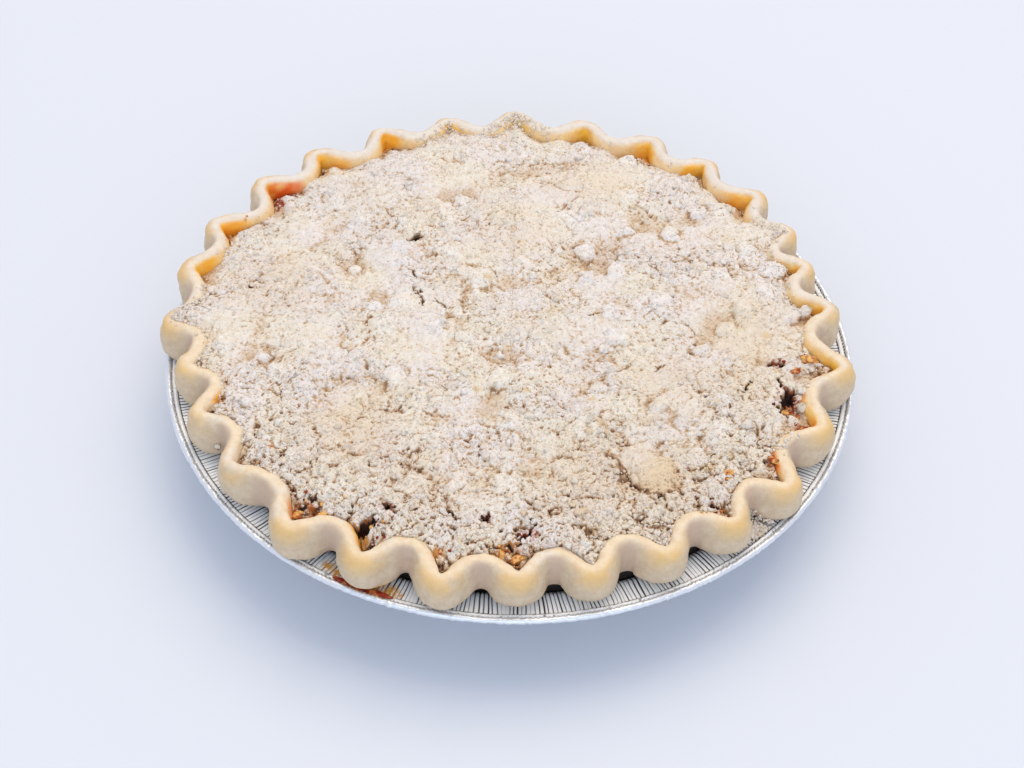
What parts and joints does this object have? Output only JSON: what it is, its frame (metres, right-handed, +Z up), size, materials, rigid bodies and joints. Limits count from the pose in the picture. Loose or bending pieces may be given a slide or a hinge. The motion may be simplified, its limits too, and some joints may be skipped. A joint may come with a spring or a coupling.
{
  "type": "apple crumble pie",
  "caption": "Whole fruit crumble pie in its own foil tin, with a deep fluted pastry rim and a pale, domed crumble top with lumps and pockets of filling at the edge.",
  "frame": {"origin": "on the table, under the middle of the tin's underside", "axes": "+Z up through the pie, -Y towards the picture's camera, +X to the picture's right"},
  "size_m": [0.2457, 0.244, 0.0511],
  "materials": {
    "foil": "satin pressed foil",
    "pastry": "pale baked pastry, golden at the crests",
    "filling": "glossy cooked fruit in amber syrup",
    "crumble": "pale dry crumbs"
  },
  "bodies": {
    "root": {"foil_tin": "foil", "pastry_crust": "pastry", "apple_filling": "filling", "crumble_topping": "crumble"}
  },
  "joints": []
}
